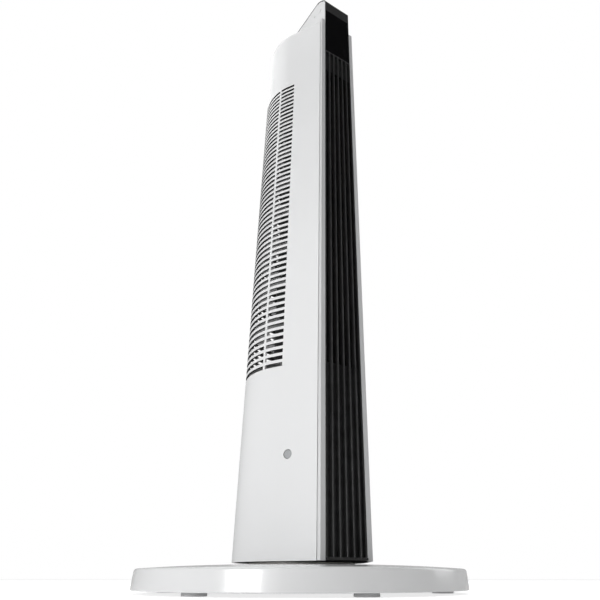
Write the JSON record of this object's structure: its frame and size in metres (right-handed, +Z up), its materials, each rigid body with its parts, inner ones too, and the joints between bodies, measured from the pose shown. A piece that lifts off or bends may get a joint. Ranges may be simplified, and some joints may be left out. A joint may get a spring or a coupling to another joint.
{
  "type": "ceramic tower space heater",
  "caption": "Slim upright ceramic heater: rounded tower with slotted sides and a ribbed black front on a round base, with a sloping control head; the tower swings on the base.",
  "frame": {"origin": "middle of the round base, on the surface that its feet stand on", "axes": "+Z up, the front with the hot-air outlet faces -Y, +X to the right as seen from the front"},
  "size_m": [0.28, 0.2815, 0.7473],
  "materials": {
    "base_white": "white plastic, polished",
    "housing_white": "white plastic, satin",
    "silver_paint": "silver paint, satin",
    "grille_black": "black plastic, satin",
    "window_black": "black plastic, polished",
    "grey_plastic": "grey plastic, satin",
    "inner_black": "black plastic, matt",
    "foot_rubber": "grey rubber, matt",
    "steel": "plain steel",
    "zinc": "zinc plated steel",
    "acetal": "natural acetal",
    "ceramic": "sintered ceramic heating stones, matt",
    "board_green": "green lacquered circuit board"
  },
  "bodies": {
    "base": {"base_cover": "base_white", "base_plate": "housing_white", "ballast_ring": "steel", "foot_pad_1": "foot_rubber", "foot_pad_2": "foot_rubber", "foot_pad_3": "foot_rubber", "foot_pad_4": "foot_rubber", "foot_pad_5": "foot_rubber", "foot_pad_6": "foot_rubber", "base_screw_1": "zinc", "base_screw_2": "zinc", "base_screw_3": "zinc", "base_screw_4": "zinc", "cord_inlet_bushing": "grey_plastic", "tip_switch_body": "inner_black", "thrust_washer": "acetal", "sun_gear": "acetal"},
    "tower": {"tower_foot": "inner_black", "keeper_ring": "zinc", "keeper_screw_1": "zinc", "keeper_screw_2": "zinc", "keeper_screw_3": "zinc", "swing_motor": "zinc", "casing": "housing_white", "screw_cover_left": "grey_plastic", "casing_screw_left": "zinc", "screw_cover_right": "grey_plastic", "casing_screw_right": "zinc", "trim_strip_left": "silver_paint", "trim_strip_right": "silver_paint", "front_grille": "grille_black", "front_window": "window_black", "display_board": "board_green", "control_panel": "window_black", "nose_cap": "grille_black", "head_shell": "housing_white", "control_board": "board_green", "rib_frame": "housing_white", "lower_chassis": "inner_black", "motor_plate": "inner_black", "fan_motor": "zinc", "top_plate": "inner_black", "top_bearing": "acetal", "long_air_guide": "inner_black", "tongue_air_guide": "inner_black", "heater_frame": "inner_black", "ceramic_module_1": "ceramic", "ceramic_module_2": "ceramic", "thermal_cutout": "ceramic", "power_board": "board_green"},
    "plunger": {"tip_switch_plunger": "grey_plastic"},
    "drive_pinion": {"drive_pinion": "acetal"},
    "fan_wheel": {"fan_wheel": "inner_black"},
    "power_button": {"power_button": "grey_plastic"},
    "heat_button": {"heat_button": "grey_plastic"},
    "swing_button": {"swing_button": "grey_plastic"},
    "timer_button": {"timer_button": "grey_plastic"}
  },
  "joints": [
    {"name": "tower_swing", "type": "hinge", "parent": "base", "child": "tower", "pos_m": [0, 0, 0.0227], "axis": [0, 0, 1], "range_deg": [-35, 35]},
    {"name": "plunger_slide", "type": "slide", "parent": "base", "child": "plunger", "axis": [0, 0, -1], "range_m": [0, 0.003], "stiffness_N_per_m": 60, "springref_m": 0.006},
    {"name": "pinion_spin", "type": "hinge", "parent": "tower", "child": "drive_pinion", "pos_m": [0, 0.018, 0.012], "axis": [0, 0, 1], "range_deg": [-72, 72]},
    {"name": "fan_spin", "type": "hinge", "parent": "tower", "child": "fan_wheel", "pos_m": [0, 0.002, 0.39], "axis": [0, 0, 1], "continuous": true},
    {"name": "power_press", "type": "slide", "parent": "tower", "child": "power_button", "axis": [0, -0.859, -0.512], "range_m": [0, 0.0012], "stiffness_N_per_m": 300, "springref_m": -0.0005},
    {"name": "heat_press", "type": "slide", "parent": "tower", "child": "heat_button", "axis": [0, -0.859, -0.512], "range_m": [0, 0.0012], "stiffness_N_per_m": 300, "springref_m": -0.0005},
    {"name": "swing_press", "type": "slide", "parent": "tower", "child": "swing_button", "axis": [0, -0.859, -0.512], "range_m": [0, 0.0012], "stiffness_N_per_m": 300, "springref_m": -0.0005},
    {"name": "timer_press", "type": "slide", "parent": "tower", "child": "timer_button", "axis": [0, -0.859, -0.512], "range_m": [0, 0.0012], "stiffness_N_per_m": 300, "springref_m": -0.0005}
  ],
  "couplings": [
    {"joint": "pinion_spin", "follows": "tower_swing", "ratio": 2}
  ]
}
